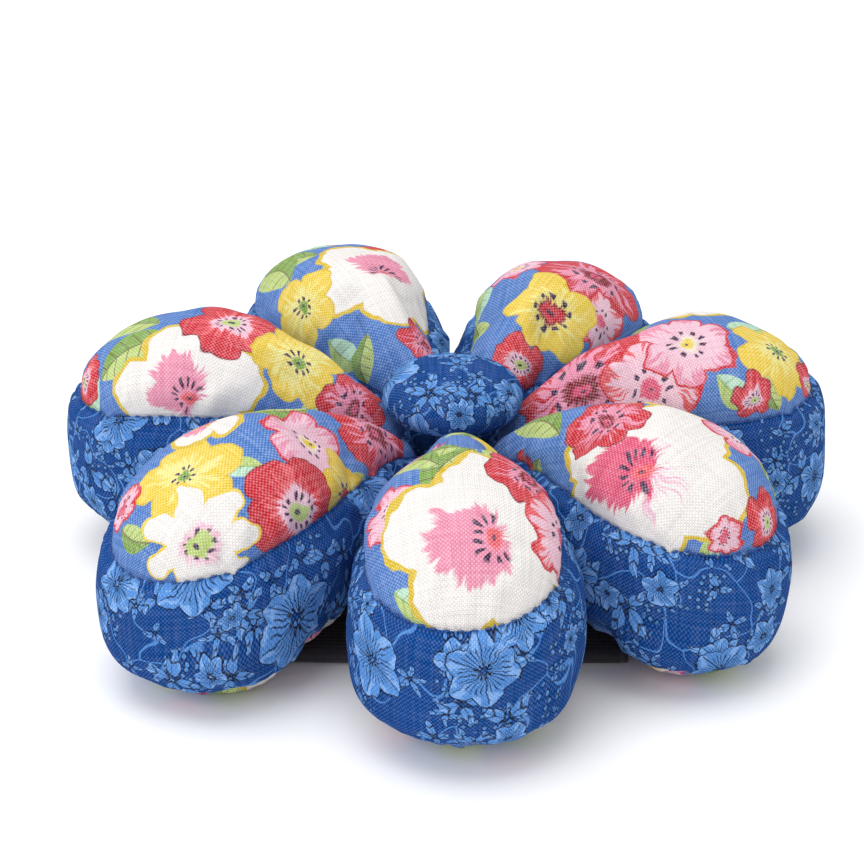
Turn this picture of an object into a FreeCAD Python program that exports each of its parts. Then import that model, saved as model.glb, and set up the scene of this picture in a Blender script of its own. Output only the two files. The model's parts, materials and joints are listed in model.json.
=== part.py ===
"""A flower pin cushion worn on the wrist.

Seven stuffed petals meet round a covered button. Each petal is three cloth panels
sewn round a filling: a top panel, a side panel and a bottom panel. The button's
shank is tied down through the middle to a knot. Under the flower a felt disc and a
pin guard carry a loop of wide elastic, which lies folded flat and pulls open.

Millimetres. +Z is up, the origin is on the table under the button, and the first
petal points along -Y.
"""
import FreeCAD, Part
import os
import Sketcher
from FreeCAD import Placement, Rotation, Vector

SHEET = "Sizes"
CENTRE = 3  # Sketcher's number for an arc's centre
HORIZONTAL_AXIS = -1
ORIGIN_POINT = 1
ORDINALS = ("one", "two", "three", "four", "five", "six", "seven")

SIZES = {
    # where each petal lies round the button; the gathers aren't quite even
    "petal_one_angle": -89,
    "petal_two_angle": -39.5,
    "petal_three_angle": 14.5,
    "petal_four_angle": 65,
    "petal_five_angle": 114.5,
    "petal_six_angle": 167,
    "petal_seven_angle": 221.5,
    # the petal's outline, seen from above and pointing along +X
    "end_centre_reach": 42.4,
    "petal_half_width": 15.6,
    "side_centre_reach": 172.9,
    "side_centre_offset": 361.4,
    "tip_reach": 4.5,
    # the petal's crown, turned about an axis that runs out along the petal
    "pad_axis_height": 14,
    "petal_height": 34,
    "crown_reach": 37,
    "crown_radius": 19.5,
    "inner_bow_radius": 42.7,
    "outer_bow_radius": 37.2,
    "crown_start": 2,
    "crown_end": 60,
    # the hollow under the flower that the band lies in
    "hollow_height": 4.3,
    "hollow_foot_radius": 45.5,
    "hollow_roof_radius": 41.5,
    # cloth, seams and filling
    "cloth_thickness": 0.5,
    "filling_gap": 0.45,
    "top_seam_height": 22.5,
    "bottom_seam_height": 7,
    "seam_thread_radius": 0.15,
    "seam_thread_inset": 0.7,
    "top_seam_start": 10.5,
    "bottom_seam_start": 15.5,
    # the covered button
    "button_radius": 9.9,
    "button_half_height": 5,
    "button_centre_height": 27.2,
    "button_open_angle": 30,
    "button_cover_thickness": 0.45,
    "button_metal_thickness": 0.4,
    "button_clearance": 0.05,
    "back_plate_radius": 7.4,
    "back_plate_thickness": 0.8,
    "back_plate_height": 25,
    "shank_radius": 1.8,
    "shank_wire_radius": 0.4,
    # threads in the middle
    "tuft_thread_radius": 0.6,
    "knot_radius": 1.4,
    "gathering_ring_radius": 3.4,
    "gathering_thread_radius": 0.3,
    "gathering_height": 14,
    # felt disc and pin guard
    "felt_radius": 24,
    "felt_thickness": 0.8,
    "felt_height": 2.3,
    "guard_radius": 22,
    "guard_thickness": 0.8,
    "guard_height": 3.2,
    # the elastic wrist band
    "band_width": 47,
    "band_run_length": 60,
    "band_front_reach": 27,
    "band_thickness": 0.9,
    "band_height": 2.1,
    # the box of stitches that holds the band
    "stitch_length": 2.4,
    "stitch_width": 0.5,
    "stitch_height": 0.2,
    "stitch_pitch": 3.6,
    "stitch_box_half": 12.6,
}


def new_document():
    """The document and its sheet of driving sizes."""
    doc = FreeCAD.newDocument("PinCushion")
    sheet = doc.addObject("Spreadsheet::Sheet", SHEET)
    for row, (alias, value) in enumerate(SIZES.items(), start=1):
        sheet.set(f"A{row}", alias.replace("_", " "))
        sheet.set(f"B{row}", str(value))
        sheet.setAlias(f"B{row}", alias)
    doc.recompute()
    return doc


def bind(feature, **expressions):
    """Binds each named property to an expression over the sheet's aliases."""
    for prop, expression in expressions.items():
        feature.setExpression(prop.replace("__", "."), formula(expression))


def formula(expression):
    """Puts the sheet's name before every alias in an expression."""
    words = []
    for word in expression.replace("(", " ( ").replace(")", " ) ").split():
        words.append(f"{SHEET}.{word}" if word in SIZES else word)
    return " ".join(words)


def origin_plane(body, role):
    """One of a body's own origin planes."""
    return next(plane for plane in body.Origin.OriginFeatures if plane.Role == role)


def new_sketch(doc, body, name, role):
    sketch = body.newObject("Sketcher::SketchObject", name)
    sketch.AttachmentSupport = [(origin_plane(body, role), "")]
    sketch.MapMode = "FlatFace"
    return sketch


def arc_between(centre, start, end):
    """The arc about a centre that runs anticlockwise from one point to another."""
    first, last = start - centre, end - centre
    turn = Vector(1, 0, 0)
    up = Vector(0, 0, 1)
    circle = Part.Circle(centre, up, first.Length)
    return Part.ArcOfCircle(
        circle,
        turn.getAngle(first) * (1 if first.y >= 0 else -1),
        turn.getAngle(last) * (1 if last.y >= 0 else -1),
    )


def outline_sketch(doc, body, name, inset):
    """The petal's outline from above: a round end, two bowed sides and a cut tip.

    The side arcs keep their centres, so a larger inset gives a true parallel outline.
    """
    reach = SIZES["end_centre_reach"]
    radius = SIZES["petal_half_width"]
    tip = SIZES["tip_reach"]
    end_centre = Vector(reach, 0, 0)
    low_centre = Vector(SIZES["side_centre_reach"], -SIZES["side_centre_offset"], 0)
    high_centre = Vector(low_centre.x, -low_centre.y, 0)
    away = (end_centre - low_centre).normalize()
    high_join = end_centre + away * radius
    low_join = Vector(high_join.x, -high_join.y, 0)
    side_radius = (high_join - low_centre).Length
    rise = (side_radius**2 - (low_centre.x - tip) ** 2) ** 0.5
    high_tip = Vector(tip, low_centre.y + rise, 0)
    low_tip = Vector(tip, -high_tip.y, 0)

    sketch = new_sketch(doc, body, name, "XY_Plane")
    end = sketch.addGeometry(arc_between(end_centre, low_join, high_join))
    high = sketch.addGeometry(arc_between(low_centre, high_join, high_tip))
    low = sketch.addGeometry(arc_between(high_centre, low_tip, low_join))
    cut = sketch.addGeometry(Part.LineSegment(high_tip, low_tip))
    start, finish = 1, 2
    join = Sketcher.Constraint
    sketch.addConstraint(join("Tangent", end, finish, high, start))
    sketch.addConstraint(join("Tangent", low, finish, end, start))
    sketch.addConstraint(join("Coincident", high, finish, cut, start))
    sketch.addConstraint(join("Coincident", low, start, cut, finish))
    sketch.addConstraint(join("Vertical", cut))
    sketch.addConstraint(join("PointOnObject", end, CENTRE, HORIZONTAL_AXIS))
    sizes = [
        ("DistanceX", reach, "end_centre_reach", (-1, ORIGIN_POINT, end, CENTRE)),
        ("Radius", radius, f"petal_half_width - ( {inset} )", (end,)),
        ("DistanceX", low_centre.x, "side_centre_reach", (-1, ORIGIN_POINT, high, CENTRE)),
        ("DistanceY", -low_centre.y, "side_centre_offset", (high, CENTRE, -1, ORIGIN_POINT)),
        ("DistanceX", low_centre.x, "side_centre_reach", (-1, ORIGIN_POINT, low, CENTRE)),
        ("DistanceY", -low_centre.y, "side_centre_offset", (-1, ORIGIN_POINT, low, CENTRE)),
        ("DistanceX", tip, f"tip_reach + ( {inset} )", (-1, ORIGIN_POINT, cut, start)),
    ]
    add_sizes(sketch, sizes)
    return sketch


def add_sizes(sketch, sizes):
    """Adds named dimensions to a sketch, each at its value now and bound to the sheet."""
    for number, (kind, value, expression, where) in enumerate(sizes):
        index = sketch.addConstraint(Sketcher.Constraint(kind, *where, float(value)))
        name = f"size{number}"
        sketch.renameConstraint(index, name)
        sketch.setExpression(f"Constraints.{name}", formula(expression))


def crown_sketch(doc, body, name, inset):
    """Half the petal's side view: two bows that meet level at the crown."""
    reach, crest = SIZES["crown_reach"], SIZES["crown_radius"]
    left, right = SIZES["crown_start"], SIZES["crown_end"]
    inner, outer = SIZES["inner_bow_radius"], SIZES["outer_bow_radius"]
    top = Vector(reach, crest, 0)
    inner_centre = Vector(reach, crest - inner, 0)
    outer_centre = Vector(reach, crest - outer, 0)
    left_rise = inner_centre.y + (inner**2 - (reach - left) ** 2) ** 0.5
    right_rise = outer_centre.y + (outer**2 - (right - reach) ** 2) ** 0.5
    high_left, high_right = Vector(left, left_rise, 0), Vector(right, right_rise, 0)
    foot_left, foot_right = Vector(left, 0, 0), Vector(right, 0, 0)

    sketch = new_sketch(doc, body, name, "XZ_Plane")
    bow_in = sketch.addGeometry(arc_between(inner_centre, top, high_left))
    bow_out = sketch.addGeometry(arc_between(outer_centre, high_right, top))
    end = sketch.addGeometry(Part.LineSegment(high_right, foot_right))
    base = sketch.addGeometry(Part.LineSegment(foot_right, foot_left))
    begin = sketch.addGeometry(Part.LineSegment(foot_left, high_left))
    start, finish = 1, 2
    join = Sketcher.Constraint
    sketch.addConstraint(join("Coincident", bow_in, start, bow_out, finish))
    sketch.addConstraint(join("Coincident", bow_out, start, end, start))
    sketch.addConstraint(join("Coincident", end, finish, base, start))
    sketch.addConstraint(join("Coincident", base, finish, begin, start))
    sketch.addConstraint(join("Coincident", begin, finish, bow_in, finish))
    sketch.addConstraint(join("Vertical", bow_in, start, bow_in, CENTRE))
    sketch.addConstraint(join("Vertical", end))
    sketch.addConstraint(join("Vertical", begin))
    sketch.addConstraint(join("PointOnObject", end, finish, HORIZONTAL_AXIS))
    sketch.addConstraint(join("PointOnObject", begin, start, HORIZONTAL_AXIS))
    sizes = [
        ("DistanceX", reach, "crown_reach", (-1, ORIGIN_POINT, bow_in, CENTRE)),
        ("DistanceY", inner - crest, "inner_bow_radius - crown_radius", (bow_in, CENTRE, -1, ORIGIN_POINT)),
        ("DistanceX", reach, "crown_reach", (-1, ORIGIN_POINT, bow_out, CENTRE)),
        ("DistanceY", outer - crest, "outer_bow_radius - crown_radius", (bow_out, CENTRE, -1, ORIGIN_POINT)),
        ("Radius", inner, f"inner_bow_radius - ( {inset} )", (bow_in,)),
        ("DistanceX", left, "crown_start", (-1, ORIGIN_POINT, begin, start)),
        ("DistanceX", right, "crown_end", (-1, ORIGIN_POINT, end, finish)),
    ]
    add_sizes(sketch, sizes)
    return sketch


def petal_block(doc, name, inset):
    """A solid petal along +X, drawn in by an inset all round."""
    pad_body = outline_pad(doc, name, inset, f"petal_height - 2 * ( {inset} )", inset)

    crown_body = doc.addObject("PartDesign::Body", f"{name}_crown")
    side_view = crown_sketch(doc, crown_body, f"{name}_crown_sketch", inset)
    turned = crown_body.newObject("PartDesign::Revolution", f"{name}_turned")
    turned.Profile = side_view
    turned.ReferenceAxis = (side_view, ["H_Axis"])
    turned.Angle = 360
    bind(crown_body, Placement__Base__z="pad_axis_height")

    block = common(doc, f"{name}_block", pad_body, crown_body)
    hollow = doc.addObject("Part::Cone", f"{name}_hollow")
    bind(
        hollow,
        Radius1=f"hollow_foot_radius + {inset}",
        Radius2=f"hollow_roof_radius + {inset}",
        Height=f"hollow_height + ( {inset} )",
    )
    return cut(doc, f"{name}_solid", block, hollow)


def common(doc, name, *shapes):
    both = doc.addObject("Part::MultiCommon", name)
    both.Shapes = list(shapes)
    return both


def cut(doc, name, base, tool):
    left = doc.addObject("Part::Cut", name)
    left.Base, left.Tool = base, tool
    return left


def layer(doc, name, low, high):
    """A slab between two heights, wide enough for one petal."""
    slab = doc.addObject("Part::Box", name)
    bind(
        slab,
        Length="end_centre_reach + 2 * petal_half_width",
        Width="4 * petal_half_width",
        Height=f"( {high} ) - ( {low} )",
        Placement__Base__y="-2 * petal_half_width",
        Placement__Base__z=low,
    )
    return slab


def outline_pad(doc, name, inset, height, lift):
    """A flat plate with the petal's outline, drawn in by an inset."""
    body = doc.addObject("PartDesign::Body", f"{name}_outline")
    outline = outline_sketch(doc, body, f"{name}_outline_sketch", inset)
    pad = body.newObject("PartDesign::Pad", f"{name}_pad")
    pad.Profile = outline
    bind(pad, Length=height)
    bind(body, Placement__Base__z=lift)
    return body


def seam_thread(doc, name, height, start):
    """A thread along the inside of a seam: a thin hoop of the outline, open at the tip."""
    depth = "2 * seam_thread_radius"
    lift = f"{height} - seam_thread_radius"
    outer = outline_pad(doc, f"{name}_outer", "seam_thread_inset - seam_thread_radius", depth, lift)
    inner = outline_pad(doc, f"{name}_inner", "seam_thread_inset + seam_thread_radius", depth, lift)
    hoop = cut(doc, f"{name}_hoop", outer, inner)
    keep = doc.addObject("Part::Box", f"{name}_keep")
    bind(
        keep,
        Length="end_centre_reach + 2 * petal_half_width",
        Width="4 * petal_half_width",
        Height="petal_height",
        Placement__Base__x=start,
        Placement__Base__y="-2 * petal_half_width",
    )
    return common(doc, f"{name}_master", hoop, keep)


def petal_masters(doc):
    """The six pieces of one petal, along +X."""
    outside = petal_block(doc, "outside", "0")
    inside = petal_block(doc, "inside", "cloth_thickness")
    filling = petal_block(doc, "stuffing", "cloth_thickness + filling_gap")
    skin = cut(doc, "skin", outside, inside)
    above = layer(doc, "above_seam", "top_seam_height", "petal_height + 1")
    between = layer(doc, "between_seams", "bottom_seam_height", "top_seam_height")
    below = layer(doc, "below_seam", "-1", "bottom_seam_height")
    return {
        "top_panel": common(doc, "top_panel_master", skin, above),
        "side_panel": common(doc, "side_panel_master", skin, between),
        "bottom_panel": common(doc, "bottom_panel_master", skin, below),
        "filling": filling,
        "top_seam_thread": seam_thread(doc, "top_seam", "top_seam_height", "top_seam_start"),
        "bottom_seam_thread": seam_thread(doc, "bottom_seam", "bottom_seam_height", "bottom_seam_start"),
    }


def copy_round(doc, master, label, ordinal):
    """A copy of one petal piece, turned to its place round the flower."""
    copy = doc.addObject("Part::Compound", label)
    copy.Links = [master]
    copy.Placement = Placement(Vector(), Rotation(Vector(0, 0, 1), 1))
    bind(copy, Placement__Rotation__Angle=f"petal_{ordinal}_angle")
    return named(copy, label)


def named(feature, label):
    feature.Label = label
    return feature


def flattened_ball(doc, name, inset):
    """The button's whole rounded form, drawn in by an inset."""
    ball = doc.addObject("Part::Ellipsoid", name)
    ball.Angle1 = -90
    bind(
        ball,
        Radius1=f"button_half_height - ( {inset} )",
        Radius2=f"button_radius - ( {inset} )",
        Radius3=f"button_radius - ( {inset} )",
        Placement__Base__z="button_centre_height",
    )
    return ball


def dome(doc, name, outside, inside):
    """A cap between two insets of the button's form, open below so that the back plate fits in."""
    outer = flattened_ball(doc, f"{name}_outer", outside)
    bind(outer, Angle1="-1 * button_open_angle")
    return cut(doc, name, outer, flattened_ball(doc, f"{name}_inner", inside))


def covered_button(doc):
    """Cloth cover, metal shell, back plate and wire shank."""
    metal_inset = "button_cover_thickness + button_clearance"
    cover = dome(doc, "button_cover", "0", "button_cover_thickness")
    shell = dome(doc, "button_shell", metal_inset, f"{metal_inset} + button_metal_thickness")
    plate = doc.addObject("Part::Cylinder", "button_back_plate")
    bind(
        plate,
        Radius="back_plate_radius",
        Height="back_plate_thickness",
        Placement__Base__z="back_plate_height",
    )
    shank = doc.addObject("Part::Torus", "button_shank")
    shank.Placement = Placement(Vector(), Rotation(Vector(1, 0, 0), 90))
    bind(
        shank,
        Radius1="shank_radius",
        Radius2="shank_wire_radius",
        Placement__Base__z="back_plate_height - shank_radius - shank_wire_radius",
    )
    return [
        named(cover, "button_cover"),
        named(shell, "button_shell"),
        named(plate, "button_back_plate"),
        named(shank, "button_shank"),
    ]


def centre_threads(doc):
    """The tufting thread, its knot, and the thread that gathers the petals' tips."""
    knot_height = "( guard_height + guard_thickness + knot_radius + 0.1 )"
    thread_foot = f"( {knot_height} + knot_radius )"
    shank_foot = "( back_plate_height - 2 * shank_radius - 2 * shank_wire_radius )"
    knot = doc.addObject("Part::Sphere", "tuft_knot")
    bind(knot, Radius="knot_radius", Placement__Base__z=knot_height)
    thread = doc.addObject("Part::Cylinder", "tuft_thread")
    bind(
        thread,
        Radius="tuft_thread_radius",
        Height=f"{shank_foot} - {thread_foot}",
        Placement__Base__z=thread_foot,
    )
    ring = doc.addObject("Part::Torus", "gathering_thread")
    bind(
        ring,
        Radius1="gathering_ring_radius",
        Radius2="gathering_thread_radius",
        Placement__Base__z="gathering_height",
    )
    return [named(knot, "tuft_knot"), named(thread, "tuft_thread"), named(ring, "gathering_thread")]


def underside_discs(doc):
    """A felt disc that the band is sewn to, and the stiff guard that stops pins."""
    discs = []
    for label, stem in (("felt_disc", "felt"), ("pin_guard", "guard")):
        disc = doc.addObject("Part::Cylinder", label)
        bind(
            disc,
            Radius=f"{stem}_radius",
            Height=f"{stem}_thickness",
            Placement__Base__z=f"{stem}_height",
        )
        discs.append(named(disc, label))
    return discs


def band_run(doc, label, height):
    """One flat run of the elastic."""
    run = doc.addObject("Part::Box", label)
    bind(
        run,
        Length="band_width",
        Width="band_run_length",
        Height="band_thickness",
        Placement__Base__x="-0.5 * band_width",
        Placement__Base__y="-1 * band_front_reach",
        Placement__Base__z=height,
    )
    return named(run, label)


def band_fold(doc, label, faces_front, reach):
    """The half turn that joins the two runs at one end of the loop."""
    halves = []
    for part, radius in (("outer", "band_height / 2"), ("inner", "band_height / 2 - band_thickness")):
        half = doc.addObject("Part::Cylinder", f"{label}_{part}")
        half.Angle = 180
        turn = Rotation(Vector(0, 1, 0), 90)
        spin = Rotation(Vector(0, 0, 1), 180 if faces_front else 0)
        half.Placement = Placement(Vector(), turn.multiply(spin))
        bind(
            half,
            Radius=radius,
            Height="band_width",
            Placement__Base__x="-0.5 * band_width",
            Placement__Base__y=reach,
            Placement__Base__z="band_height / 2",
        )
        halves.append(half)
    return named(cut(doc, label, *halves), label)


def band_stitches(doc):
    """The square of stitches that shows under the band's upper run."""
    pitch, half = SIZES["stitch_pitch"], SIZES["stitch_box_half"]
    count = int(round(2 * half / pitch))
    stitches = []
    for side in range(4):
        for step in range(count):
            along = -half + (step + 0.5) * pitch
            stitch = doc.addObject("Part::Box", f"stitch_{side}_{step}")
            long_side, short_side = ("Length", "Width") if side % 2 == 0 else ("Width", "Length")
            across = half if side < 2 else -half
            x, y = (along, across) if side % 2 == 0 else (across, along)
            bind(
                stitch,
                **{long_side: "stitch_length", short_side: "stitch_width"},
                Height="stitch_height",
                Placement__Base__x=f"{x} - {'stitch_length' if side % 2 == 0 else 'stitch_width'} / 2",
                Placement__Base__y=f"{y} - {'stitch_width' if side % 2 == 0 else 'stitch_length'} / 2",
                Placement__Base__z="band_height - band_thickness - stitch_height",
            )
            stitches.append(stitch)
    group = doc.addObject("Part::Compound", "band_stitches")
    group.Links = stitches
    return named(group, "band_stitches")


def build():
    doc = new_document()
    parts = []
    masters = petal_masters(doc)
    for number, ordinal in enumerate(ORDINALS, start=1):
        for piece, master in masters.items():
            parts.append(copy_round(doc, master, f"petal_{number}_{piece}", ordinal))
    parts += covered_button(doc)
    parts += centre_threads(doc)
    parts += underside_discs(doc)
    parts.append(band_run(doc, "band_upper_run", "band_height - band_thickness"))
    parts.append(band_run(doc, "band_lower_run", "0"))
    parts.append(band_fold(doc, "band_front_fold", True, "-1 * band_front_reach"))
    parts.append(band_fold(doc, "band_rear_fold", False, "band_run_length - band_front_reach"))
    parts.append(band_stitches(doc))
    doc.recompute()
    return doc, parts


def check(doc, parts):
    """Stops the build if any object failed or any sub-part isn't a sound solid."""
    for feature in doc.Objects:
        bad = {"Invalid", "Error"} & set(feature.State)
        if bad:
            raise SystemExit(f"{feature.Name} is {bad}")
    for part in parts:
        shape = part.Shape
        if shape.isNull() or not shape.isValid() or not shape.Solids:
            raise SystemExit(f"{part.Label} has no sound shape")
        print(f"{part.Label:32s} {len(shape.Solids):3d} solids {shape.Volume:10.2f} mm3")


def write(parts):
    os.makedirs("parts", exist_ok=True)
    for part in parts:
        part.Shape.exportStep(f"parts/{part.Label}.step")


document, sub_parts = build()
check(document, sub_parts)
write(sub_parts)
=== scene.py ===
"""A flower pin cushion: seven stuffed cotton petals round a covered button, on a wrist band."""
import json
import math

import bpy
import numpy as np
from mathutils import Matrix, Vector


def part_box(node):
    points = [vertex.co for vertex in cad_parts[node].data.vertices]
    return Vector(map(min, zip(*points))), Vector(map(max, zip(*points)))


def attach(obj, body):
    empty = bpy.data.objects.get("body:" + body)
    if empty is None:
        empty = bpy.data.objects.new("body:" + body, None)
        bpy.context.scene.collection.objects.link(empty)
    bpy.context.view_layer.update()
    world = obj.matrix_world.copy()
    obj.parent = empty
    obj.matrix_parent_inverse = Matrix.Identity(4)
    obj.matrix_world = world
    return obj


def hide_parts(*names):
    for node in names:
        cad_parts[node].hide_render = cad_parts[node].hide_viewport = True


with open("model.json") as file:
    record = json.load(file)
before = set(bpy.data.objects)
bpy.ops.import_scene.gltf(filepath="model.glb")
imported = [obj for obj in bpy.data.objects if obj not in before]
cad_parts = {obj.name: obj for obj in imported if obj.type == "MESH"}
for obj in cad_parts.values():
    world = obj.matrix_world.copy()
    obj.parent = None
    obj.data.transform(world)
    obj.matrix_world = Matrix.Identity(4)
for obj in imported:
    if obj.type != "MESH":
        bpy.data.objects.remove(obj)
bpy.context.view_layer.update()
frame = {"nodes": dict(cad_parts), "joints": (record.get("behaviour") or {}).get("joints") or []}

# ----------------------------------------
# The petals' cut and stuffing.
# Each petal is a teardrop pillow of quilting cotton: a top panel, a side panel sewn round it and
# a bottom panel, turned right side out and packed hard with polyester fibre.
# ----------------------------------------
MM = 0.001
HALF_GRID = 10
ROUND = 8 * HALF_GRID          # points round a seam
SIDE_ROWS = 14
TOP, SIDE, BOTTOM = 0, 1, 2

tip_reach = 4.6
end_centre = 42.0
half_width = 15.5
middle = np.array([33.0, 0.0])
roundness = 2.6
neighbour_gap = 0.35

petal_joints = [joint for joint in frame["joints"] if joint["name"].startswith("petal_")]
petal_turns = [math.atan2(joint["axis"][0], -joint["axis"][1]) for joint in petal_joints]
reach_changes = [1.7, -2.8, -0.4, 0.4, 2.4, 0.4, 1.6]
tip_lifts = [-0.2, 0.0, 1.3, -0.4, 2.4, 2.0, -0.9]
seam_share = 0.925              # of the way out to the widest line
end_seam_changes = [0.0, 0.0, -0.05, -0.02, -0.02, 0.0, 0.015]
side_seam_changes = [-0.015, 0.0, -0.025, 0.0, 0.03, 0.005, 0.0]
bottom_seam_rho = 0.84


def top_seam_rho(turn, number):
    """How far out the top seam runs: further at the ends than at the sides, and a little uneven,
    since each panel was turned by hand."""
    way = turn * 2 * math.pi
    share = seam_share + 0.025 * np.cos(2 * way)
    share = share + end_seam_changes[number] * np.cos(way) + side_seam_changes[number] * np.sin(way)
    return np.minimum(share, 0.965)


def distances(line):
    """How far along a line of points each of them is."""
    return np.concatenate([[0], np.cumsum(np.linalg.norm(np.diff(line, axis=0), axis=1))])


def read_line(places, run, line):
    """The points at some distances along a line, between its own points."""
    return np.stack([np.interp(places, run, column) for column in line.T], axis=-1)


def petal_outline(left_slope, right_slope, reach_change):
    """Evenly spaced points round the widest line of a petal, anticlockwise from its outer end.

    The half width is a sine of the distance from the tip, to a power, then a circle at the end.
    A soft minimum holds each side inside the wedge that the petal has to itself.
    """
    turn = np.linspace(0, math.pi / 2, 200)
    along = np.concatenate([
        end_centre + half_width * np.cos(turn),
        np.linspace(end_centre, tip_reach, 400)[1:],
    ])
    before = np.minimum(along / end_centre, 1)
    width = half_width * np.sin(before * math.pi / 2) ** 0.85
    width[:200] = half_width * np.sin(turn)
    along = along + reach_change * np.clip(along / end_centre, 0, 1)

    sharpness = 1.5

    def inside(slope):
        wedge = slope * along - neighbour_gap
        return -np.log(np.exp(-sharpness * width) + np.exp(-sharpness * wedge)) / sharpness

    left = np.stack([along, np.maximum(inside(left_slope), 0)], axis=1)
    right = np.stack([along, -np.maximum(inside(right_slope), 0)], axis=1)
    left[0, 1] = right[0, 1] = 0
    loop = np.concatenate([left, right[::-1]])
    run = distances(loop)
    return read_line(np.arange(ROUND) / ROUND * run[-1], run, loop), run[-1]


def disc_grid():
    """A square grid bent to fill a disc: each point's radius, 0 to 1, and its part of a turn."""
    steps = np.linspace(-1, 1, 2 * HALF_GRID + 1)
    a, b = np.meshgrid(steps, steps, indexing="ij")
    wide = np.abs(a) >= np.abs(b)
    radius = np.where(wide, np.abs(a), np.abs(b))
    a_safe = np.where(a == 0, 1, a)
    b_safe = np.where(b == 0, 1, b)
    sideways = b / a_safe / 8 + np.where(a < 0, 0.5, 0)
    upward = 0.25 - a / b_safe / 8 + np.where(b < 0, 0.5, 0)
    return radius.ravel(), (np.where(wide, sideways, upward) % 1).ravel()


def ridge(along):
    """Height of the crown line, before the sides round off."""
    crown, fall, fall_start, fall_length = 34.4, 8.6, end_centre - 4, 28
    return crown - fall * (np.clip(fall_start - along, 0, None) / fall_length) ** 2


def waist(along):
    """Height at which the petal is widest."""
    outer_height, tip_rise, rise_length = 12, 2.5, 30
    return outer_height + tip_rise * np.clip(1 - along / rise_length, 0, 1)


def keel(along):
    """Height of the underside: flat on the table outside, hollowed over the band inside."""
    band_end, hollow_height, tip_rise, rise_length = 45, 4.9, 9, 26
    hollow = np.clip((band_end - along) / 8, 0, 1)
    hollow = hollow * hollow * (3 - 2 * hollow)
    return hollow_height * hollow + tip_rise * np.clip(1 - along / rise_length, 0, 1) ** 1.3


def pillow_points(outline, radius, turn, side):
    """Points of the pillow: a superellipse from the crown or keel out to the widest line.

    Towards the tip its power grows, since the petals press each other square there.
    """
    square_tip, tip_length = 1.6, 32
    ring = np.concatenate([outline, outline[:1]])
    edge = read_line(turn * ROUND, np.arange(ROUND + 1), ring)
    flat = middle + radius[..., None] * (edge - middle)
    along = flat[..., 0]
    power = roundness + square_tip * np.clip(1 - along / tip_length, 0, 1)
    rise = np.clip(1 - radius ** power, 0, 1) ** (1 / power)
    top = waist(along) + (ridge(along) - waist(along)) * rise
    low = waist(along) - (waist(along) - keel(along)) * rise
    return np.concatenate([flat, np.where(side > 0, top, low)[..., None]], axis=-1)


def flat_cut(outline, radius, turn, side):
    """Where each point of a top or bottom panel lies on the flat cloth, in millimetres.

    It is as far from the panel's middle as the cloth is long along the curved surface.
    """
    part = np.linspace(0, 1, 25)[:, None]
    rays = pillow_points(outline, part * radius, np.broadcast_to(turn, (25, turn.size)), side)
    run = np.linalg.norm(np.diff(rays, axis=0), axis=2).sum(axis=0)
    aim = rays[-1, :, :2] - middle
    reach = np.maximum(np.linalg.norm(aim, axis=1), 1e-6)
    return middle + aim * (run / reach)[:, None]


def side_rows(outline, columns, number):
    """The side panel's rows from seam to seam, evenly spaced down the curve at the outer end.

    Returns each row's swing round the superellipse at every column, and the panel's depth.
    """
    start = np.arccos(top_seam_rho(columns, number) ** (roundness / 2))
    finish = -math.acos(bottom_seam_rho ** (roundness / 2))
    swing = np.linspace(start[0], finish, 400)
    radius = np.cos(swing) ** (2 / roundness)
    run = distances(pillow_points(outline, radius, np.zeros(400), swing))
    picked = np.interp(np.linspace(0, run[-1], SIDE_ROWS + 1), run, swing)
    share = (picked[:, None] - finish) / (start[0] - finish)
    return finish + share * (start - finish), run[-1]


def add_object(name, data):
    """A new object in the scene."""
    made = bpy.data.objects.new(name, data)
    bpy.context.scene.collection.objects.link(made)
    return made


def make_piece(name, points, faces, uv=None):
    """A smooth object of points and faces, with its place on the flat cloth if it has one."""
    mesh = bpy.data.meshes.new(name)
    mesh.from_pydata(points.tolist(), [], faces)
    if uv is not None:
        mesh.uv_layers.new(name="cut").uv.foreach_set("vector", uv.reshape(-1).astype(np.float32))
    mesh.polygons.foreach_set("use_smooth", np.ones(len(mesh.polygons), dtype=bool))
    return add_object(name, mesh)


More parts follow.
